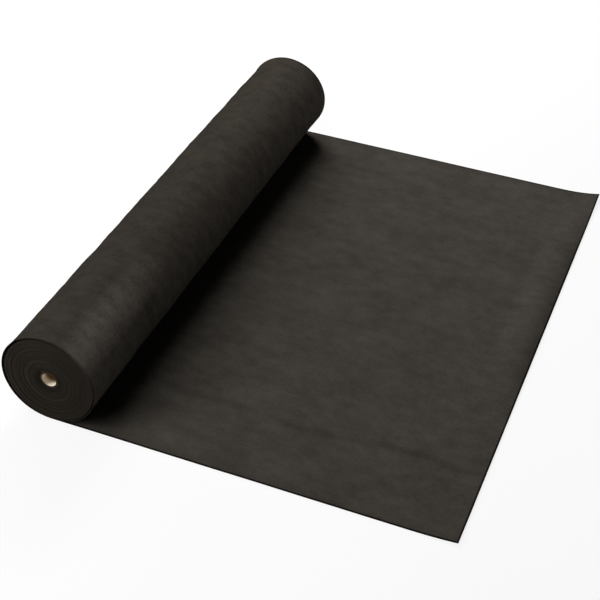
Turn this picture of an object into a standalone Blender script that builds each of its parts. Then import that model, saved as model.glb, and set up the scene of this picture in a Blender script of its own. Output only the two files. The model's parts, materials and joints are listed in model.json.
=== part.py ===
"""A part-unrolled roll of weed control fabric, one non-woven web wound on a cardboard tube.

The tube lies along Y. The web leaves the roll at the ground and lies along +X, so the upper side of the
laid stretch is the side that faced the tube. Lengths are in metres and +Z is up. The origin is on the
ground, in the middle of the whole part.
"""

import math

import bmesh
import bpy
import numpy as np
from mathutils import Vector

# The web
FABRIC_WIDTH = 1.0
WEB_THICKNESS = 0.0008
ROLL_DIAMETER = 0.165

# The stretch that lies on the ground, from the line where the roll touches it to the free end
LAID_LENGTH = 0.683
CURLED_END_LENGTH = 0.085

# The free end has kept some of the roll's curl: its whole edge lifts a little, and each corner lifts more
EDGE_LIFT = 0.002
NEAR_CORNER_LIFT = 0.007
NEAR_CORNER_REACH = 0.085
FAR_CORNER_LIFT = 0.010
FAR_CORNER_REACH = 0.150

# The cardboard tube
CORE_BORE_DIAMETER = 0.026
CORE_WALL = 0.003
CORE_RECESS = 0.002

# The strip of tape that holds the web's first edge on the tube
TAPE_SPAN = 0.012
TAPE_THICKNESS = 0.0003
TAPE_END_MARGIN = 0.030

# Gaps: between open turns, between pieces that touch, and round the turns that turn inside the outer one
TURN_GAP = 0.00045
SEAT_GAP = 0.0003
RUNNING_GAP = 0.0005

# Counts: the open turns that are drawn as one winding, and the points round each shape
OPEN_TURNS = 22
WINDING_POINTS = 24
ROUND_POINTS = 48
TAPE_STEPS = 6
CURL_STEPS_ALONG = 8
CURL_STEPS_ACROSS = 20
SAMPLES_PER_SIDE = 6

# What follows from these sizes
TURN_PITCH = WEB_THICKNESS + TURN_GAP
ROLL_RADIUS = ROLL_DIAMETER / 2
ROLL_BACK_REACH = ROLL_RADIUS - TURN_PITCH / 4
ROLL_AXIS_X = (ROLL_BACK_REACH - LAID_LENGTH) / 2
CORE_RADIUS = CORE_BORE_DIAMETER / 2 + CORE_WALL
TAPE_INNER_RADIUS = CORE_RADIUS + SEAT_GAP
TAPE_OUTER_RADIUS = TAPE_INNER_RADIUS + TAPE_THICKNESS

# A shape with flat sides comes closer to the axis in the middle of a side than at its corners
OUTER_TURN_CLEAR_RADIUS = (ROLL_RADIUS - TURN_PITCH - WEB_THICKNESS) * math.cos(math.pi / ROUND_POINTS)
WINDING_OUTER_RADIUS = OUTER_TURN_CLEAR_RADIUS - RUNNING_GAP
WINDING_INNER_RADIUS = WINDING_OUTER_RADIUS - OPEN_TURNS * TURN_PITCH - WEB_THICKNESS
PACKED_RADIUS = WINDING_INNER_RADIUS * math.cos(math.pi / WINDING_POINTS) - SEAT_GAP

# Shading keeps an edge sharp where its faces turn by more than this
SHARP_ANGLE = math.radians(30)


def make_material(name, colour, roughness):
    """A matt material of one colour, given in linear light."""
    material = bpy.data.materials.new(name)
    material.use_nodes = True
    shader = material.node_tree.nodes["Principled BSDF"]
    shader.inputs["Base Color"].default_value = (*colour, 1)
    shader.inputs["Roughness"].default_value = roughness
    shader.inputs["Metallic"].default_value = 0
    material.diffuse_color = (*colour, 1)
    return material


def add_empty(name, location, parent=None):
    """An axis that pieces hang on."""
    empty = bpy.data.objects.new(name, None)
    empty.empty_display_size = ROLL_RADIUS
    empty.location = location
    empty.parent = parent
    bpy.context.collection.objects.link(empty)
    return empty


def add_piece(name, bm, material, parent=None):
    """Turns a finished bmesh into a named piece, with its faces pointing out and its round sides smooth."""
    bmesh.ops.recalc_face_normals(bm, faces=bm.faces[:])
    mesh = bpy.data.meshes.new(name)
    bm.to_mesh(mesh)
    bm.free()
    mesh.shade_smooth()
    mesh.set_sharp_from_angle(angle=SHARP_ANGLE)
    piece = bpy.data.objects.new(name, mesh)
    piece.parent = parent
    bpy.context.collection.objects.link(piece)
    if material:
        mesh.materials.append(material)
    return piece


def spiral_points(outer_radius, turns, points_per_turn):
    """The web's outer side in a winding, seen along the tube: from under the roll, up its back and round."""
    points = []
    for step in range(turns * points_per_turn + 1):
        turned = step / points_per_turn
        radius = outer_radius - TURN_PITCH * turned
        angle = math.tau * turned
        points.append(Vector((-radius * math.sin(angle), 0, -radius * math.cos(angle))))
    return points


def wound_strip(outer_radius, turns, points_per_turn):
    """One unbroken strip of web, wound inwards: its end face is drawn, then pulled out to the web's width."""
    outer_side = spiral_points(outer_radius, turns, points_per_turn)
    inner_side = [point - point.normalized() * WEB_THICKNESS for point in outer_side]
    bm = bmesh.new()
    to_near_end = Vector((0, -FABRIC_WIDTH / 2, 0))
    rows = []
    for outer_point, inner_point in zip(outer_side, inner_side):
        rows.append((bm.verts.new(outer_point + to_near_end), bm.verts.new(inner_point + to_near_end)))
    for (outer_a, inner_a), (outer_b, inner_b) in zip(rows, rows[1:]):
        bm.faces.new((outer_a, outer_b, inner_b, inner_a))
    pull_out(bm, Vector((0, FABRIC_WIDTH, 0)))
    return bm


def pull_out(bm, offset):
    """Extrudes all the faces by an offset, and leaves them as the other end of the solid."""
    extruded = bmesh.ops.extrude_face_region(bm, geom=bm.faces[:])["geom"]
    moved = [item for item in extruded if isinstance(item, bmesh.types.BMVert)]
    bmesh.ops.translate(bm, verts=moved, vec=offset)


def turned_shell(inner_radius, outer_radius, length, steps, angle=math.tau, start=0.0):
    """A wall turned about Y from a rectangle: a whole ring, or a part of one that starts at an angle."""
    corners = [
        (inner_radius, -length / 2),
        (outer_radius, -length / 2),
        (outer_radius, length / 2),
        (inner_radius, length / 2),
    ]
    bm = bmesh.new()
    verts = [bm.verts.new((-r * math.sin(start), y, -r * math.cos(start))) for r, y in corners]
    whole = math.isclose(angle, math.tau)
    if whole:
        profile = [bm.edges.new((verts[i], verts[i - 1])) for i in range(len(verts))]
    else:
        profile = [bm.faces.new(verts)]
    bmesh.ops.spin(
        bm,
        geom=verts + profile,
        cent=(0, 0, 0),
        axis=(0, 1, 0),
        angle=angle,
        steps=steps,
        use_merge=whole,
    )
    return bm


def ease(share):
    """Rises from 0 to 1 and starts level, for a share of the way that may run past either end."""
    return min(max(share, 0), 1) ** 2


def lift_of_web(x_from_curl, y):
    """How far the free end stands off the ground, at a place along the curl and across the web."""
    along = ease(x_from_curl / CURLED_END_LENGTH)
    near_corner = ease(1 - (FABRIC_WIDTH / 2 + y) / NEAR_CORNER_REACH)
    far_corner = ease(1 - (FABRIC_WIDTH / 2 - y) / FAR_CORNER_REACH)
    return along * (EDGE_LIFT + NEAR_CORNER_LIFT * near_corner + FAR_CORNER_LIFT * far_corner)


def laid_strip(length, steps_along, steps_across, lift=None):
    """A stretch of web on the ground, from x = 0. The steps across crowd towards the two selvedges."""
    bm = bmesh.new()
    bmesh.ops.create_grid(bm, x_segments=steps_along, y_segments=steps_across, size=1)
    for vert in bm.verts:
        x = length * (vert.co.x + 1) / 2
        y = FABRIC_WIDTH / 2 * math.sin(math.pi / 2 * vert.co.y)
        vert.co = (x, y, lift(x, y) if lift else 0)
    pull_out(bm, Vector((0, 0, WEB_THICKNESS)))
    return bm


def cut(piece, cutter):
    """Takes the cutter's shape out of the piece."""
    cutter.hide_render = True
    cutter.display_type = "WIRE"
    boolean = piece.modifiers.new(cutter.name, "BOOLEAN")
    boolean.operation = "DIFFERENCE"
    boolean.solver = "EXACT"
    boolean.object = cutter


def least_gap_between_turns(outer_radius, turns, points_per_turn):
    """The least space between one turn and the next, measured on points along the middle of the web."""
    corners = np.array(spiral_points(outer_radius - WEB_THICKNESS / 2, turns, points_per_turn))
    shares = np.arange(SAMPLES_PER_SIDE) / SAMPLES_PER_SIDE
    sides = corners[1:] - corners[:-1]
    points = (corners[:-1, None] + shares[None, :, None] * sides[:, None]).reshape(-1, 3)
    half_a_turn = points_per_turn * SAMPLES_PER_SIDE // 2
    least = math.inf
    for number, point in enumerate(points[:-half_a_turn]):
        others = points[number + half_a_turn:]
        least = min(least, np.linalg.norm(others - point, axis=1).min())
    return least - WEB_THICKNESS


for thing in list(bpy.data.objects):
    bpy.data.objects.remove(thing)

fabric_on_roll = make_material("fabric_on_roll", (0.046, 0.040, 0.034), 0.85)
fabric_laid = make_material("fabric_laid", (0.044, 0.039, 0.032), 0.85)
cardboard = make_material("cardboard", (0.62, 0.45, 0.28), 0.9)
tape_film = make_material("tape_film", (0.70, 0.66, 0.55), 0.4)

# The roll travels along the ground, and inside its outer turn the rest turns about the same axis
travelling_roll = add_empty("travelling_roll", (ROLL_AXIS_X, 0, ROLL_RADIUS))
turning_roll = add_empty("turning_roll", (0, 0, 0), travelling_roll)

# Cardboard tube, whose ends stand a little inside the fabric's
core_tube = add_piece(
    "core_tube",
    turned_shell(CORE_BORE_DIAMETER / 2, CORE_RADIUS, FABRIC_WIDTH - 2 * CORE_RECESS, ROUND_POINTS),
    cardboard,
    turning_roll,
)

# Tape along the tube, under the web's first turn
tape_angle = TAPE_SPAN / CORE_RADIUS
tape_length = FABRIC_WIDTH - 2 * CORE_RECESS - 2 * TAPE_END_MARGIN
start_tape = add_piece(
    "start_tape",
    turned_shell(TAPE_INNER_RADIUS, TAPE_OUTER_RADIUS, tape_length, TAPE_STEPS, tape_angle),
    tape_film,
    turning_roll,
)

# Tight inner turns, drawn as one packed body with a hollow where the tape lies under them
packed_turns = add_piece(
    "packed_turns",
    turned_shell(CORE_RADIUS + SEAT_GAP, PACKED_RADIUS, FABRIC_WIDTH, ROUND_POINTS),
    fabric_on_roll,
    turning_roll,
)
room_beside_tape = SEAT_GAP / CORE_RADIUS
tape_hollow = add_piece(
    "tape_hollow",
    turned_shell(
        CORE_RADIUS,
        TAPE_OUTER_RADIUS + SEAT_GAP,
        tape_length + 2 * SEAT_GAP,
        TAPE_STEPS,
        tape_angle + 2 * room_beside_tape,
        -room_beside_tape,
    ),
    None,
    turning_roll,
)
cut(packed_turns, tape_hollow)

# Open outer turns, one unbroken strip round the packed ones
wound_turns = add_piece(
    "wound_turns",
    wound_strip(WINDING_OUTER_RADIUS, OPEN_TURNS, WINDING_POINTS),
    fabric_on_roll,
    turning_roll,
)
least_gap = least_gap_between_turns(WINDING_OUTER_RADIUS, OPEN_TURNS, WINDING_POINTS)
print(f"least gap between open turns: {least_gap * 1000:.3f} mm")

# Outermost turn, which the laid web runs into at the ground
outer_turn = add_piece(
    "outer_turn",
    wound_strip(ROLL_RADIUS, 1, ROUND_POINTS),
    fabric_on_roll,
    travelling_roll,
)

# Laid web up to the curl, which the roll takes up as it travels
flat_length = LAID_LENGTH - CURLED_END_LENGTH - SEAT_GAP
laid_sheet = add_piece("laid_sheet", laid_strip(flat_length - SEAT_GAP, 1, 1), fabric_laid)
laid_sheet.location.x = ROLL_AXIS_X + SEAT_GAP

# Free end of the same web, with its lifted edge and corners
free_end = add_piece(
    "free_end",
    laid_strip(CURLED_END_LENGTH, CURL_STEPS_ALONG, CURL_STEPS_ACROSS, lift_of_web),
    fabric_laid,
)
free_end.location.x = ROLL_AXIS_X + LAID_LENGTH - CURLED_END_LENGTH
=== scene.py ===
"""The finished looks of a part-unrolled roll of weed control fabric, dressed on its fixed frame.

The web lies along +X from the line where the roll touches the ground, and the roll's axis runs along Y.
Lengths are in metres.
"""

import json
import math

import bmesh
import bpy
from mathutils import Matrix, Vector, noise


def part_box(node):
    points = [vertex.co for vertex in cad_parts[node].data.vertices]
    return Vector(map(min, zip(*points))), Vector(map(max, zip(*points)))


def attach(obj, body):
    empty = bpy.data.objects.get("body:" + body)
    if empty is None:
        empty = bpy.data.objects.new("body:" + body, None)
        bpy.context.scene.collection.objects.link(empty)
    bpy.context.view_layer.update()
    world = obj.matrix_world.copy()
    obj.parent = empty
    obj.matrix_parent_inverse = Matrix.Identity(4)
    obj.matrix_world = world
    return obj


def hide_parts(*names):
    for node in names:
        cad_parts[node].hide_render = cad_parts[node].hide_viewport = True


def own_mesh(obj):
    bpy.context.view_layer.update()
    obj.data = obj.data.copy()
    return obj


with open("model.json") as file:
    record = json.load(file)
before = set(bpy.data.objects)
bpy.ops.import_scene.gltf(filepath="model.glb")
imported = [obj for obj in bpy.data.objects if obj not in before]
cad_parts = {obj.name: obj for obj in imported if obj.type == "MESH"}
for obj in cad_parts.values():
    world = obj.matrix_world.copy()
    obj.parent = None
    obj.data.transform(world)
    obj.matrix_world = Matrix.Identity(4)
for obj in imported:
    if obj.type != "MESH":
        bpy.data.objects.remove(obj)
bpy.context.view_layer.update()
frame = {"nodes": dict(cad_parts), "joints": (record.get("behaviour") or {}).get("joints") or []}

# Camera: it stands in front of the near end, a little to the right, and looks down on the laid web. It is
# tipped by a degree and a half, and its lens is moderately long.
CAMERA_TARGET = Vector((-0.049, -0.052, 0.0))
CAMERA_DISTANCE = 2.402
CAMERA_AZIMUTH = math.radians(20.9)
CAMERA_ELEVATION = math.radians(38.35)
CAMERA_TIP = math.radians(1.64)
CAMERA_LENS_MM = 79.43
SENSOR_MM = 36

towards_camera = Vector((
    math.sin(CAMERA_AZIMUTH) * math.cos(CAMERA_ELEVATION),
    -math.cos(CAMERA_AZIMUTH) * math.cos(CAMERA_ELEVATION),
    math.sin(CAMERA_ELEVATION),
))
level_right = Vector((math.cos(CAMERA_AZIMUTH), math.sin(CAMERA_AZIMUTH), 0))
level_up = towards_camera.cross(level_right)
camera_right = level_right * math.cos(CAMERA_TIP) + level_up * math.sin(CAMERA_TIP)
camera_up = towards_camera.cross(camera_right)

camera_data = bpy.data.cameras.new("studio_camera")
camera_data.lens = CAMERA_LENS_MM
camera_data.sensor_width = SENSOR_MM
camera = bpy.data.objects.new("studio_camera", camera_data)
camera_turn = Matrix((camera_right, camera_up, towards_camera)).transposed().to_4x4()
camera.matrix_world = Matrix.Translation(CAMERA_TARGET + towards_camera * CAMERA_DISTANCE) @ camera_turn
bpy.context.collection.objects.link(camera)
bpy.context.scene.camera = camera


# Laid web: the flat stretch of fabric between the roll and the curl of its free end. It is one layer of
# black fibres, laid down by air and welded together at thousands of small points, and slit to width. It lies
# loose on the ground, in shallow ripples and one crease that run along it. It carries painted light that
# makes it lighter far from the roll, and painted shade by the crease and along its selvedges.
WEB_THICKNESS = 0.0008
LAID_STEPS_ALONG = 110
LAID_STEPS_ACROSS = 300
FOLD_MIDDLE = 0.4
FOLD_SWING = 0.6
FOLD_FALL = 1.0
FOLD_STEP = 2.0
RIPPLE_HEIGHT = 0.0008
RIPPLE_LENGTH = 0.30
RIPPLE_WIDTH = 0.045
RIPPLE_SLANT = 0.10
RIPPLE_START = 0.10
RIPPLE_LAYERS = 3
RIPPLE_SEED = Vector((3.1, 7.7, 0.4))
CREASE_PLACE = -0.344
CREASE_HEIGHT = 0.0009
CREASE_NEAR_WIDTH = 0.010
CREASE_FAR_WIDTH = 0.018
CREASE_WAVER = 0.016
CREASE_WAVER_LENGTH = 0.13
CREASE_WAVER_SEED = 4.6
CREASE_FULLNESS = 0.8
CREASE_LEAST = 0.3
CREASE_RUN = 0.09
CREASE_SEED = 8.2
CREASE_START = 0.30
# Painted shade along the crease, and painted light that makes the web lighter far from the roll.
CREASE_PAINTED_SHADE = 0.20
PAINTED_FAR_LIGHT_FROM = 0.38
PAINTED_FAR_LIGHT_TO = 0.60
PAINTED_FAR_LIGHT_SHARE = 0.08

# The fabric's marks, with their sizes along the web and across it and their slants in degrees. All of them
# show in its tone, and all but the clouds in its relief. Noise varies round the middle, and the welds' share
# is their radius by their spacing.
MIDDLE = 0.5
CLOUDS = (0.110, 0.065)
BLOTCHES = (0.030, 0.020)
BLOTCH_SLANT = 8
SOFT_DETAIL = 3
CLUMPS = (0.0070, 0.0045)
CLUMP_ROUGHNESS = 0.6
FIBRES = (0.0036, 0.0003)
FIBRE_SLANT = 33
WELDS = (0.0019, 0.0019)
WELD_SLANT = 45
WELD_DISORDER = 0.3
WELD_SHARE = 0.27
WELD_SOFTNESS = 0.4
CLOUD_TONE = 1.0
BLOTCH_TONE = 1.05
CLUMP_TONE = 0.85
FIBRE_TONE = 0.3
WELD_TONE = 0.06
BLOTCH_RELIEF = 0.6
CLUMP_RELIEF = 0.55
FIBRE_RELIEF = 0.16
WELD_RELIEF = 0.3
RELIEF_DEPTH = 0.00022
CUT_EDGE_WIDTH = 0.0040
# A faint painted shade along the selvedges.
SELVEDGE_WIDTH = 0.030
SELVEDGE_PAINTED_SHADE = 0.12
LAID_EDGE_SHARE = 0.95
WEB_COLOUR = (0.0677, 0.0608, 0.0515)
WEB_DARK_COLOUR = (0.0438, 0.0394, 0.0333)
# Painted shade and the pressed cut edges go towards the edge colour, painted light towards the palest one.
WEB_EDGE_AND_SHADE_COLOUR = (0.0085, 0.0070, 0.0052)
WEB_PAINTED_LIGHT_COLOUR = (0.132, 0.116, 0.100)
WEB_ROUGHNESS = 0.78
WELD_SMOOTHNESS = 0.2
WEB_GLOSS = 0.0

laid_high = Vector(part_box("laid_sheet")[1])
end_low, end_high = (Vector(corner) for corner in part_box("free_end"))
tube_low, tube_high = (Vector(corner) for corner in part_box("core_tube"))
roll_axis = (tube_low + tube_high) / 2
half_width = laid_high.y
curl_start = end_low.x


class Value:
    """What a socket gives. Sums with it add their own nodes."""

    def __init__(self, finish, socket):
        self.finish = finish
        self.socket = socket

    def __add__(self, other):
        return self.finish.maths("ADD", self, other)

    def __radd__(self, other):
        return self.finish.maths("ADD", other, self)

    def __sub__(self, other):
        return self.finish.maths("SUBTRACT", self, other)

    def __rsub__(self, other):
        return self.finish.maths("SUBTRACT", other, self)

    def __mul__(self, other):
        return self.finish.maths("MULTIPLY", self, other)

    def __rmul__(self, other):
        return self.finish.maths("MULTIPLY", other, self)


class Finish:
    """The nodes of a material, or of the world, in the making."""

    def __init__(self, owner):
        owner.use_nodes = True
        self.owner = owner
        self.tree = owner.node_tree
        self.tree.nodes.clear()

    def node(self, kind, settings=None, sockets=None, output=0):
        """Adds a node, its settings first and then what its sockets hold, and gives one of its outputs."""
        node = self.tree.nodes.new(kind)
        for name, value in (settings or {}).items():
            setattr(node, name, value)
        for name, value in (sockets or {}).items():
            if isinstance(name, str):
                socket = next(item for item in node.inputs if name in (item.identifier, item.name))
            else:
                socket = node.inputs[name]
            if isinstance(value, Value):
                self.tree.links.new(value.socket, socket)
            else:
                socket.default_value = value
        if len(node.outputs) > 0:
            return Value(self, node.outputs[output])

    def maths(self, operation, first, second=0.0):
        """What a Math node makes of one value or two."""
        return self.node("ShaderNodeMath", {"operation": operation}, {0: first, 1: second})

    def place(self, axis=None):
        """The place on the piece, or one part of it, in metres."""
        whole = self.node("ShaderNodeTexCoord", output="Object")
        if axis is None:
            return whole
        return self.node("ShaderNodeSeparateXYZ", None, {"Vector": whole}, axis)

    def place_on_pattern(self, place, size, slant):
        """The place on a pattern, with its size along and across, and a slant in degrees."""
        sockets = {"Vector": place, "Rotation": (0, 0, math.radians(slant)), "Scale": (*size, 1)}
        return self.node("ShaderNodeMapping", {"vector_type": "TEXTURE"}, sockets)

    def noise(self, place, size, slant=0.0, detail=2.0, roughness=0.5):
        """Soft noise round its middle of a half, with its size along and across, and a slant in degrees."""
        on_noise = self.place_on_pattern(place, size, slant)
        sockets = {"Vector": on_noise, "Scale": 1.0, "Detail": detail, "Roughness": roughness}
        return self.node("ShaderNodeTexNoise", {"noise_dimensions": "2D"}, sockets)

    def within(self, value, start, end):
        """Rises smoothly from 0 at one value to 1 at another."""
        sockets = {"Value": value, "From Min": start, "From Max": end}
        return self.node("ShaderNodeMapRange", {"interpolation_type": "SMOOTHSTEP"}, sockets)

    def blend(self, share, first, second):
        """A colour that goes from the first to the second with the share."""
        ends = {}
        for name, colour in (("A_Color", first), ("B_Color", second)):
            ends[name] = colour if isinstance(colour, Value) else (*colour, 1)
        return self.node("ShaderNodeMix", {"data_type": "RGBA"}, {"Factor_Float": share, **ends}, "Result")

    def bump(self, height, depth):
        """The surface's tilt where this height from 0 to 1 stands for a relief of this depth."""
        return self.node("ShaderNodeBump", None, {"Height": height, "Strength": 1.0, "Distance": depth})

    def surface(self, **sockets):
        """Closes a material with its shader."""
        named = {name.replace("_", " "): value for name, value in sockets.items()}
        shader = self.node("ShaderNodeBsdfPrincipled", None, named)
        self.node("ShaderNodeOutputMaterial", None, {"Surface": shader})
        return self.owner


def fabric(finish, along, across, edge, painted_light, shade=(1, 1, 1)):
    """Welded black fibres, by the place along the web and across it.

    Edge is 1 where a cut edge or painted shade is darkest, and painted_light is 1 where painted light makes
    the web lightest. Shade is the share of the laid web's colours that it shows, lower on the roll as painted
    shade.
    """
    light = [part * share for part, share in zip(WEB_COLOUR, shade)]
    dark = [part * share for part, share in zip(WEB_DARK_COLOUR, shade)]
    place = finish.node("ShaderNodeCombineXYZ", None, {"X": along, "Y": across})
    clouds = finish.noise(place, CLOUDS, detail=SOFT_DETAIL) - MIDDLE
    blotches = finish.noise(place, BLOTCHES, slant=BLOTCH_SLANT, detail=SOFT_DETAIL) - MIDDLE
    clumps = finish.noise(place, CLUMPS, roughness=CLUMP_ROUGHNESS) - MIDDLE
    crossed = [finish.noise(place, FIBRES, slant=slant) - MIDDLE for slant in (FIBRE_SLANT, -FIBRE_SLANT)]
    fibres = crossed[0] + crossed[1]
    on_welds = finish.place_on_pattern(place, WELDS, WELD_SLANT)
    cells = {"Vector": on_welds, "Scale": 1.0, "Randomness": WELD_DISORDER}
    distance = finish.node("ShaderNodeTexVoronoi", {"voronoi_dimensions": "2D"}, cells, "Distance")
    welds = finish.within(distance, WELD_SHARE * (1 + WELD_SOFTNESS), WELD_SHARE * (1 - WELD_SOFTNESS))
    grain = blotches * BLOTCH_TONE + clumps * CLUMP_TONE + fibres * FIBRE_TONE
    tone = clouds * CLOUD_TONE + grain
    colour = finish.blend(MIDDLE + tone - welds * WELD_TONE, dark, light)
    # Painted light first, then the cut edges and painted shade.
    colour = finish.blend(painted_light * (1 + grain), colour, WEB_PAINTED_LIGHT_COLOUR)
    colour = finish.blend(edge, colour, WEB_EDGE_AND_SHADE_COLOUR)
    raised = clumps * CLUMP_RELIEF + fibres * FIBRE_RELIEF + blotches * BLOTCH_RELIEF
    return finish.surface(
        Base_Color=colour,
        Roughness=WEB_ROUGHNESS - WELD_SMOOTHNESS * welds,
        Normal=finish.bump(MIDDLE + raised - welds * WELD_RELIEF, RELIEF_DEPTH),
        Specular_IOR_Level=WEB_GLOSS,
    )


def cut_edge(finish, across):
    """1 at a selvedge, pressed together by the slitting knife, with a faint painted shade further in."""
    away = finish.maths("ABSOLUTE", across)
    pressed = finish.within(away, half_width - CUT_EDGE_WIDTH, half_width - CUT_EDGE_WIDTH / 2)
    return pressed + finish.within(away, half_width - SELVEDGE_WIDTH, half_width) * SELVEDGE_PAINTED_SHADE


def laid_fabric_finish():
    """The laid web's finish, by its place.

    It has painted shade by the crease, and painted light that makes it lighter far from the roll.
    """
    finish = Finish(bpy.data.materials.new("laid_fabric_finish"))
    along = roll_axis.x - finish.place("X")
    across = finish.place("Y")
    last = roll_axis.x - end_high.x
    free_edge = finish.within(along, last + CUT_EDGE_WIDTH, last + CUT_EDGE_WIDTH / 2)
    edge = finish.maths("MAXIMUM", cut_edge(finish, across), free_edge) * LAID_EDGE_SHARE
    creased = finish.node("ShaderNodeAttribute", {"attribute_name": "creased"}, output="Fac")
    # Painted shade on the near side of the crease.
    darkened = finish.maths("MAXIMUM", edge, creased * CREASE_PAINTED_SHADE)
    # Painted light: lighter far from the roll.
    painted_far_light = finish.within(along, -PAINTED_FAR_LIGHT_FROM, -PAINTED_FAR_LIGHT_TO) * PAINTED_FAR_LIGHT_SHARE
    return fabric(finish, along, across, darkened, painted_far_light)


def eased(share):
    """Rises smoothly from 0 to 1, level at both ends."""
    share = min(max(share, 0), 1)
    return share * share * (3 - 2 * share)


def wavering(run, length, seed):
    """A soft to and fro round 0 as the web runs on, with the length of its waves."""
    return noise.noise(Vector((run / length, seed, 0)))


def folds(place, layers):
    """Soft folds from 0 to 1, in layers of noise that are each half as large as the last."""
    wave = noise.fractal(place, FOLD_FALL, FOLD_STEP, layers)
    return min(max(FOLD_MIDDLE + FOLD_SWING * wave, 0), 1)


def crease(x, y):
    """The crease's share of its full height. It wavers along the web and is steeper on its near side."""
    run = x - roll_axis.x
    behind = y - CREASE_PLACE - CREASE_WAVER * wavering(run, CREASE_WAVER_LENGTH, CREASE_WAVER_SEED)
    width = CREASE_NEAR_WIDTH if behind < 0 else CREASE_FAR_WIDTH
    fullness = min(max(CREASE_FULLNESS + wavering(run, CREASE_RUN, CREASE_SEED), CREASE_LEAST), 1)
    return eased(1 - abs(behind) / width) * fullness * eased(run / CREASE_START)


def ripple(x, y):
    """How far the laid web stands off the ground in its ripples and its crease, with none beside the roll.

    They are low enough for the rolled web to pass over them.
    """
    run = x - roll_axis.x
    place = Vector((run / RIPPLE_LENGTH, (y + RIPPLE_SLANT * run) / RIPPLE_WIDTH, 0)) + RIPPLE_SEED
    rippled = RIPPLE_HEIGHT * folds(place, RIPPLE_LAYERS) * eased(run / RIPPLE_START)
    creased = crease(x, y)
    return rippled * (1 - creased) + CREASE_HEIGHT * creased


def finished_piece(name, bm, finish, sharp_degrees=40):
    """Makes the object: faces out, smooth but for its sharp edges, in its finish."""
    bmesh.ops.recalc_face_normals(bm, faces=bm.faces[:])
    mesh = bpy.data.meshes.new(name)
    bm.to_mesh(mesh)
    bm.free()
    mesh.shade_smooth()
    mesh.set_sharp_from_angle(angle=math.radians(sharp_degrees))
    mesh.materials.append(finish)
    piece = bpy.data.objects.new(name, mesh)
    bpy.context.collection.objects.link(piece)
    return piece


def laid_piece(name, x_start, x_end, steps_along, steps_across, height, finish):
    """A stretch of laid web: a flat grid, lifted to its height and given its thickness.

    What it carries as creased lies on the near side of the crease, where the finish paints shade.
    """
    bm = bmesh.new()
    bmesh.ops.create_grid(bm, x_segments=steps_along, y_segments=steps_across, size=1)
    creased = bm.verts.layers.float.new("creased")
    for vert in bm.verts:
        x = x_start + (x_end - x_start) * (vert.co.x + 1) / 2
        y = half_width * vert.co.y
        vert.co = (x, y, height(x, y))
        # The near side of the crease is marked for painted shade.
        vert[creased] = crease(x, y + CREASE_NEAR_WIDTH)
    upper = bmesh.ops.extrude_face_region(bm, geom=bm.faces[:])["geom"]
    raised = [item for item in upper if isinstance(item, bmesh.types.BMVert)]
    bmesh.ops.translate(bm, verts=raised, vec=(0, 0, WEB_THICKNESS))
    return finished_piece(name, bm, finish)


laid_finish = laid_fabric_finish()
laid_web = laid_piece(
    "laid_web", roll_axis.x, curl_start, LAID_STEPS_ALONG, LAID_STEPS_ACROSS, ripple, laid_finish
)
laid_length = curl_start - roll_axis.x
travel = next(joint for joint in frame["joints"] if joint["name"] == "roll_travel")["range_m"][1]
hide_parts("laid_sheet")
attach(laid_web, "laid_fabric")
(laid_length - travel) / laid_length
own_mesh(laid_web)


# Free end: the last stretch of the same web, cut square across. It has kept a little of the roll's curl, so
# its edge stands off the ground and its two corners turn up, the far one more than the near one. Behind the
# edge its middle swells up.
FREE_STEPS_ALONG = 36
FREE_STEPS_ACROSS = 300
EDGE_LIFT = 0.0015
NEAR_CORNER_LIFT = 0.0022
NEAR_CORNER_REACH = 0.085
FAR_CORNER_LIFT = 0.0065
FAR_CORNER_REACH = 0.150
CURL_POWER = 2.5
SWELL_HEIGHT = 0.0078
SWELL_PLACE = 0.026
SWELL_RISE = 0.052
SWELL_MIDDLE = 0.10
SWELL_REACH = 0.36
SWELL_FLATNESS = 1.5


def curled(x, y):
    """The height of the free end: the ripples of the laid web, and the curl and the swell on top."""
    along = max(x - curl_start, 0) / (end_high.x - curl_start)
    near_corner = max(1 - (half_width + y) / NEAR_CORNER_REACH, 0)
    far_corner = max(1 - (half_width - y) / FAR_CORNER_REACH, 0)
    lift = EDGE_LIFT + NEAR_CORNER_LIFT * near_corner ** 2 + FAR_CORNER_LIFT * far_corner ** 2
    crest = x - (end_high.x - SWELL_PLACE)
    swell = eased(1 + crest / SWELL_RISE) if crest < 0 else 1 - (crest / SWELL_PLACE) ** 2
    across = eased(SWELL_FLATNESS * (1 - abs(y - SWELL_MIDDLE) / SWELL_REACH))
    return ripple(x, y) + lift * along ** CURL_POWER + SWELL_HEIGHT * swell * across


free_web = laid_piece(
    "free_web_end", curl_start, end_high.x, FREE_STEPS_ALONG, FREE_STEPS_ACROSS, curled, laid_finish
)
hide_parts("free_end")
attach(free_web, "laid_fabric")


# Outermost turn: the web as it comes off the ground and goes up the back of the roll, over it and down its
# front. It is pulled tight, with soft ridges where it is a little slack or full, and a slight lip at both
# edges. Its front carries painted light, lighter than its back, and a painted highlight towards its near end.
OUTER_STEPS_ROUND = 136
OUTER_STEPS_ACROSS = 300
OUTER_DROP = 0.0016
RIDGE_HEIGHT = 0.0022
RIDGE_WIDTH = 0.050
RIDGE_RUN = 0.30
RIDGE_SLANT = 0.15
RIDGE_LAYERS = 4
RIDGE_SEED = Vector((0, 0, 5.2))
RIDGE_FADE = 0.12
LIP_HEIGHT = 0.0009
LIP_WIDTH = 0.006
ROLL_RADIUS = roll_axis.z

# Tones of the rolled web. It is a darker copy of the laid web's colours, as painted shade, and places along
# it count from where it leaves the ground. Its outer turns carry a painted shadow at the roll's ends.
ROLL_PAINTED_SHADE = (0.52, 0.50, 0.475)
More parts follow.
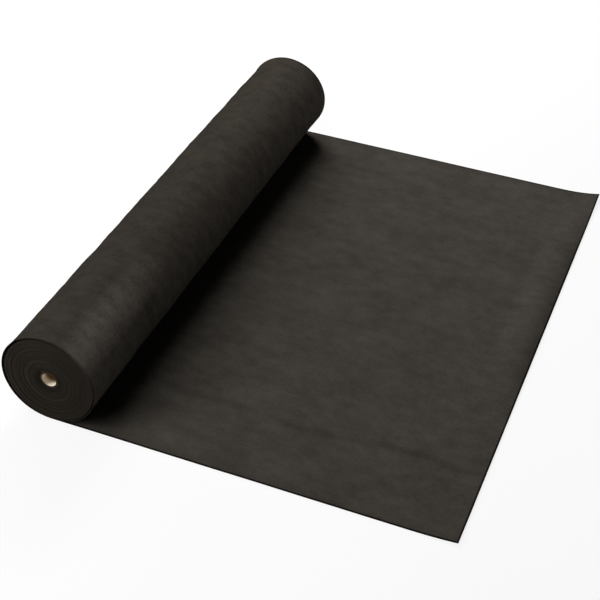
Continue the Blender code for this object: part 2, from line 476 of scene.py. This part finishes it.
# Painted highlight near the near end, and painted light over the roll's front.
PAINTED_HIGHLIGHT_PLACE = 0.322
PAINTED_HIGHLIGHT_WIDTH = 0.060
PAINTED_HIGHLIGHT_END = -0.02
PAINTED_HIGHLIGHT_SHARE = 0.90
FRONT_START = 0.19
FRONT_CREST = 0.35
FRONT_END = 0.46
FRONT_PAINTED_LIGHT_SHARE = 0.24
ROLL_EDGE_SHARE = 0.30
RING_RUN = 2.2
RING_CONTRAST = 1.2
RIM_RUN = 1.2
# Painted shadow under the lip at the roll's rim.
RIM_PAINTED_SHADE_SHARE = 0.32


def wound_fabric_finish():
    """The web's finish on the roll, by its place along the web and across it.

    It carries painted light on the side that faces the laid web, a painted highlight near the near end, and a
    painted shadow at the ends of its outer turns.
    """
    finish = Finish(bpy.data.materials.new("wound_fabric_finish"))
    along = finish.node("ShaderNodeAttribute", {"attribute_name": "along_web"}, output="Fac")
    across = finish.node("ShaderNodeAttribute", {"attribute_name": "across_web"}, output="Fac")
    run = finish.node("ShaderNodeCombineXYZ", None, {"X": along})
    rings = finish.noise(run, (RING_RUN, RING_RUN), detail=SOFT_DETAIL) - MIDDLE
    # Painted shadow under the lip at the roll's rim.
    painted_rim_shade = finish.within(along, RIM_RUN, 0) * RIM_PAINTED_SHADE_SHARE
    edge = cut_edge(finish, across) * (ROLL_EDGE_SHARE + RING_CONTRAST * rings + painted_rim_shade)
    # Painted highlight near the near end, and painted light over the whole front.
    beside = finish.maths("ABSOLUTE", along - PAINTED_HIGHLIGHT_PLACE)
    painted_highlight = finish.within(beside, PAINTED_HIGHLIGHT_WIDTH, 0) * finish.within(across, PAINTED_HIGHLIGHT_END, -half_width)
    painted_front = finish.within(along, FRONT_START, FRONT_CREST) * finish.within(along, FRONT_END, FRONT_CREST)
    painted_light = finish.maths("MAXIMUM", painted_highlight * PAINTED_HIGHLIGHT_SHARE, painted_front * FRONT_PAINTED_LIGHT_SHARE)
    return fabric(finish, along, across, edge, painted_light, ROLL_PAINTED_SHADE)


def wound_piece(name, steps_round, steps_across, turns, thickness, radius_at, edge_shift, finish):
    """A winding: a flat grid, wrapped inwards round the roll along its length and given its thickness."""
    bm = bmesh.new()
    bmesh.ops.create_grid(bm, x_segments=round(steps_round * turns), y_segments=steps_across, size=1)
    along_web = bm.verts.layers.float.new("along_web")
    across_web = bm.verts.layers.float.new("across_web")
    for vert in bm.verts:
        turned = turns * (vert.co.x + 1) / 2
        y = half_width * vert.co.y
        radius = radius_at(turned, y)
        angle = math.tau * turned
        vert[along_web] = angle * (radius + radius_at(0, y)) / 2
        vert[across_web] = y
        outwards = Vector((-math.sin(angle), 0, -math.cos(angle)))
        vert.co = outwards * radius + Vector((0, y + edge_shift(turned) * math.copysign(1, y), 0))
    inner = bmesh.ops.extrude_face_region(bm, geom=bm.faces[:])["geom"]
    for item in inner:
        if isinstance(item, bmesh.types.BMVert):
            item.co -= Vector((item.co.x, 0, item.co.z)).normalized() * thickness
    bmesh.ops.translate(bm, verts=bm.verts[:], vec=(roll_axis.x, 0, roll_axis.z))
    return finished_piece(name, bm, finish)


def outer_radius(turned, y):
    """The outermost turn's radius: a steady turn inwards, with ridges and a lip that fade at the ground."""
    run = turned * math.tau * ROLL_RADIUS
    place = Vector((run / RIDGE_RUN, (y + RIDGE_SLANT * run) / RIDGE_WIDTH, 0)) + RIDGE_SEED
    lip = max(1 - (half_width - abs(y)) / LIP_WIDTH, 0) ** 2
    raised = RIDGE_HEIGHT * folds(place, RIDGE_LAYERS) + LIP_HEIGHT * lip
    clear_of_ground = eased(turned / RIDGE_FADE) * eased((1 - turned) / RIDGE_FADE)
    return ROLL_RADIUS - OUTER_DROP * turned + raised * clear_of_ground


def true_edge(turned):
    """The outermost turn's selvedges run true."""
    return 0


wound_finish = wound_fabric_finish()
outer_web = wound_piece(
    "outer_web_turn", OUTER_STEPS_ROUND, OUTER_STEPS_ACROSS, turns=1, thickness=WEB_THICKNESS,
    radius_at=outer_radius, edge_shift=true_edge, finish=wound_finish,
)
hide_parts("outer_turn")
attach(outer_web, "travelling_turn")


# Wound web: all the turns inside the outermost one, a single strip wound on the tube. Its edges make up both
# ends of the roll, each turn a hair proud of the next or behind it, as the web wandered under the winder.
# The turns next to the outermost one and next to the tube lie a little deeper.
WOUND_THICKNESS = 0.00064
WOUND_PITCH = 0.0008
WOUND_STEPS_ROUND = 80
WOUND_GAP = 0.0001
TUBE_GAP = 0.0003
WANDER = 0.0010
WANDER_LENGTH = 1.7
WANDER_SEED = 1.7
JITTER = 0.0002
JITTER_LENGTH = 0.205
JITTER_SEED = 9.3
RIM_RECESS = 0.0010
RIM_TURNS = 3
CORE_RECESS = 0.0014
CORE_TURNS = 9
tube_radius = (tube_high.x - tube_low.x) / 2
wound_outer_radius = ROLL_RADIUS - OUTER_DROP - WEB_THICKNESS - WOUND_GAP
wound_turn_count = int((wound_outer_radius - WOUND_THICKNESS - tube_radius - TUBE_GAP) / WOUND_PITCH)


def wound_radius(turned, y):
    """The radius of the wound web, a steady step inwards for each turn."""
    return wound_outer_radius - WOUND_PITCH * turned


def wandering_edge(turned):
    """How far the web's edge stands out from the roll's end."""
    run = turned * math.tau * wound_outer_radius
    wander = WANDER * wavering(run, WANDER_LENGTH, WANDER_SEED)
    jitter = JITTER * wavering(run, JITTER_LENGTH, JITTER_SEED)
    rim_recess = RIM_RECESS * eased(1 - turned / RIM_TURNS)
    core_recess = CORE_RECESS * eased(1 - (wound_turn_count - turned) / CORE_TURNS)
    return wander + jitter - (rim_recess + core_recess)


wound_web = wound_piece(
    "wound_web", WOUND_STEPS_ROUND, steps_across=1, turns=wound_turn_count, thickness=WOUND_THICKNESS,
    radius_at=wound_radius, edge_shift=wandering_edge, finish=wound_finish,
)
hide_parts("wound_turns", "packed_turns")
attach(wound_web, "wound_roll")


# Tube: strips of card, glued over each other in a spiral and sawn off square, which leaves the layers
# showing. Its ends are painted dark and its bore browner deeper in, as painted shade. The web is wound on it
# and stands a little past its ends.
TUBE_WALL = 0.003
TUBE_LAYERS = 5
TUBE_STEPS = 96
LAYER_GROOVE = 0.00025
LAYER_ROUNDING = 0.1
CARD_FIBRES = (0.004, 0.0006)
CARD_FIBRE_SLANT = 52
CARD_FIBRE_ROUGHNESS = 0.6
CARD_FIBRE_SHARE = 0.6
CARD_BLOTCHES = (0.012, 0.012)
CARD_CONTRAST = 0.15
CARD_STRIP = 0.060
CARD_SEAM_SHARE = 0.015
CARD_SEAM_TONE = 0.7
CARD_RELIEF = 0.00015
# Painted shade deeper in the bore and on the tube's ends.
CARD_PALE_DEPTH = 0.0077
CARD_DARK_DEPTH = 0.0165
END_SHADE_DEPTH = 0.0015
CARD_COLOUR = (0.96, 0.90, 0.78)
CARD_SHADE_COLOUR = (0.84, 0.72, 0.54)
CARD_PAINTED_SHADE_COLOUR = (0.22, 0.13, 0.06)
CARD_SEAM_COLOUR = (0.36, 0.24, 0.14)
CARD_END_PAINTED_SHADE_COLOUR = (0.026, 0.010, 0.003)
CARD_ROUGHNESS = 0.85
CARD_SMOOTHNESS = 0.1
CARD_GLOSS = 0.25


def card_finish():
    """Card with fine fibres and a spiral seam, with painted shade far into the bore and on its ends."""
    finish = Finish(bpy.data.materials.new("card_finish"))
    x, y, z = (finish.place(axis) for axis in "XYZ")
    round_tube = finish.maths("ARCTAN2", x - roll_axis.x, z - roll_axis.z)
    place = finish.node("ShaderNodeCombineXYZ", None, {"X": round_tube * tube_radius, "Y": y})
    fibres = finish.noise(
        place, CARD_FIBRES, slant=CARD_FIBRE_SLANT, detail=SOFT_DETAIL, roughness=CARD_FIBRE_ROUGHNESS
    )
    blotches = finish.noise(place, CARD_BLOTCHES, detail=SOFT_DETAIL)
    marks = fibres * CARD_FIBRE_SHARE + blotches * (1 - CARD_FIBRE_SHARE)
    tone = finish.within(marks, MIDDLE - CARD_CONTRAST, MIDDLE + CARD_CONTRAST)
    colour = finish.blend(tone, CARD_SHADE_COLOUR, CARD_COLOUR)
    strip = finish.maths("FRACT", y * (1 / CARD_STRIP) + round_tube * (1 / math.tau))
    seam = finish.within(finish.maths("ABSOLUTE", strip - MIDDLE), MIDDLE - CARD_SEAM_SHARE, MIDDLE)
    colour = finish.blend(seam * CARD_SEAM_TONE, colour, CARD_SEAM_COLOUR)
    depth = tube_high.y - finish.maths("ABSOLUTE", y)
    # Painted shade deeper in the bore.
    bore_shade = finish.within(depth, CARD_PALE_DEPTH, CARD_DARK_DEPTH)
    colour = finish.blend(bore_shade, colour, CARD_PAINTED_SHADE_COLOUR)
    # Painted shade on the tube's ends.
    painted_end_shade = finish.within(depth, END_SHADE_DEPTH, END_SHADE_DEPTH / 3)
    colour = finish.blend(painted_end_shade, colour, CARD_END_PAINTED_SHADE_COLOUR)
    return finish.surface(
        Base_Color=colour,
        Roughness=CARD_ROUGHNESS - CARD_SMOOTHNESS * blotches,
        Normal=finish.bump(fibres - seam, CARD_RELIEF),
        Specular_IOR_Level=CARD_GLOSS,
    )


bm = bmesh.new()
layer = TUBE_WALL / TUBE_LAYERS
bore_radius = tube_radius - TUBE_WALL
near_profile = [(bore_radius, LAYER_GROOVE)]
for number in range(TUBE_LAYERS):
    inner = bore_radius + layer * number
    near_profile += [(inner + layer * LAYER_ROUNDING, 0), (inner + layer * (1 - LAYER_ROUNDING), 0)]
    if number < TUBE_LAYERS - 1:
        near_profile.append((inner + layer, LAYER_GROOVE))
near_profile.append((tube_radius, LAYER_GROOVE))
profile = [(radius, tube_low.y + depth) for radius, depth in near_profile]
profile += [(radius, tube_high.y - depth) for radius, depth in reversed(near_profile)]
corners = [bm.verts.new((roll_axis.x + radius, y, roll_axis.z)) for radius, y in profile]
sides = [bm.edges.new((corners[i], corners[i - 1])) for i in range(len(corners))]
bmesh.ops.spin(
    bm, geom=corners + sides, cent=roll_axis, axis=(0, 1, 0), angle=math.tau, steps=TUBE_STEPS, use_merge=True
)
card_tube = finished_piece("card_tube", bm, card_finish())
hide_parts("core_tube")
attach(card_tube, "wound_roll")


# Tape: a strip of buff tape along the tube, which holds the web's first edge on it. It is hidden under the
# first turn, so it keeps its solid as it is and gets only its finish.
TAPE_MARKS = (0.004, 0.004)
TAPE_COLOUR = (0.62, 0.57, 0.45)
TAPE_PALE_COLOUR = (0.74, 0.70, 0.60)
TAPE_ROUGHNESS = 0.4


def buff_tape_finish():
    """Buff tape with soft pale marks."""
    finish = Finish(bpy.data.materials.new("tape_finish"))
    marks = finish.noise(finish.place(), TAPE_MARKS)
    colour = finish.blend(marks, TAPE_COLOUR, TAPE_PALE_COLOUR)
    return finish.surface(Base_Color=colour, Roughness=TAPE_ROUGHNESS)


tape = frame["nodes"]["start_tape"]
tape.data.materials.clear()
tape.data.materials.append(buff_tape_finish())


# Floor and light: a white floor that keeps a soft shadow, a white surround, and large soft lights. The main
# one stands behind on the left. The others fill the top, the near end and the shaded front of the roll.
FLOOR_SIZE = 12
FLOOR_DROP = 0.0002
FLOOR_GRAIN = (0.5, 0.5)
FLOOR_COLOUR = (0.9, 0.9, 0.9)
FLOOR_GLOW = 0.86
SURROUND_LIGHT = 0.01
WHITE = (1, 1, 1)


def shown(finish):
    """1 for what the camera, a mirror or glass sees, and 0 for the light that falls on the object."""
    kinds = ("Is Camera Ray", "Is Glossy Ray", "Is Transmission Ray")
    to_camera, to_mirror, to_glass = (finish.node("ShaderNodeLightPath", output=kind) for kind in kinds)
    return finish.maths("MAXIMUM", finish.maths("MAXIMUM", to_camera, to_mirror), to_glass)


def floor_finish():
    """White paper that looks white to the camera and still darkens in the object's shadow."""
    finish = Finish(bpy.data.materials.new("floor_finish"))
    grain = finish.noise(finish.place(), FLOOR_GRAIN)
    colour = finish.blend(grain, FLOOR_COLOUR, WHITE)
    paper = finish.node("ShaderNodeBsdfDiffuse", None, {"Color": colour})
    glow = finish.node("ShaderNodeEmission", None, {"Color": (*WHITE, 1), "Strength": 1.0})
    share = shown(finish) * FLOOR_GLOW
    mixed = finish.node("ShaderNodeMixShader", None, {0: share, 1: paper, 2: glow})
    finish.node("ShaderNodeOutputMaterial", None, {"Surface": mixed})
    return finish.owner


bm = bmesh.new()
bmesh.ops.create_grid(bm, x_segments=1, y_segments=1, size=FLOOR_SIZE / 2)
bmesh.ops.translate(bm, verts=bm.verts[:], vec=(0, 0, -FLOOR_DROP))
finished_piece("floor", bm, floor_finish())


def soft_light(name, width, height, power, place):
    """A soft light that faces the object."""
    data = bpy.data.lights.new(name, "AREA")
    data.shape = "RECTANGLE"
    data.size = width
    data.size_y = height
    data.energy = power
    light = bpy.data.objects.new(name, data)
    facing = (-Vector(place)).to_track_quat("-Z", "Y").to_matrix().to_4x4()
    light.matrix_world = Matrix.Translation(place) @ facing
    light.visible_camera = False
    bpy.context.collection.objects.link(light)


soft_light("main_light", width=0.8, height=0.8, power=46, place=(-0.9, 1.7, 1.4))
soft_light("left_light", width=0.8, height=0.8, power=8, place=(-1.5, 1.0, 1.05))
soft_light("high_light", width=0.8, height=0.8, power=8, place=(-0.65, -0.55, 2.2))
soft_light("near_light", width=0.6, height=0.6, power=12, place=(-1.25, -1.2, 1.0))
soft_light("low_light", width=1.2, height=0.34, power=7, place=(1.85, 0.5, 0.2))
soft_light("end_light", width=0.8, height=0.4, power=8.5, place=(-1.05, -1.6, 0.65))

surround = Finish(bpy.data.worlds.new("studio"))
strength = shown(surround) * (1 - SURROUND_LIGHT) + SURROUND_LIGHT
background = surround.node("ShaderNodeBackground", None, {"Color": (*WHITE, 1), "Strength": strength})
surround.node("ShaderNodeOutputWorld", None, {"Surface": background})
bpy.context.scene.world = surround.owner
bpy.context.scene.view_settings.view_transform = "Standard"
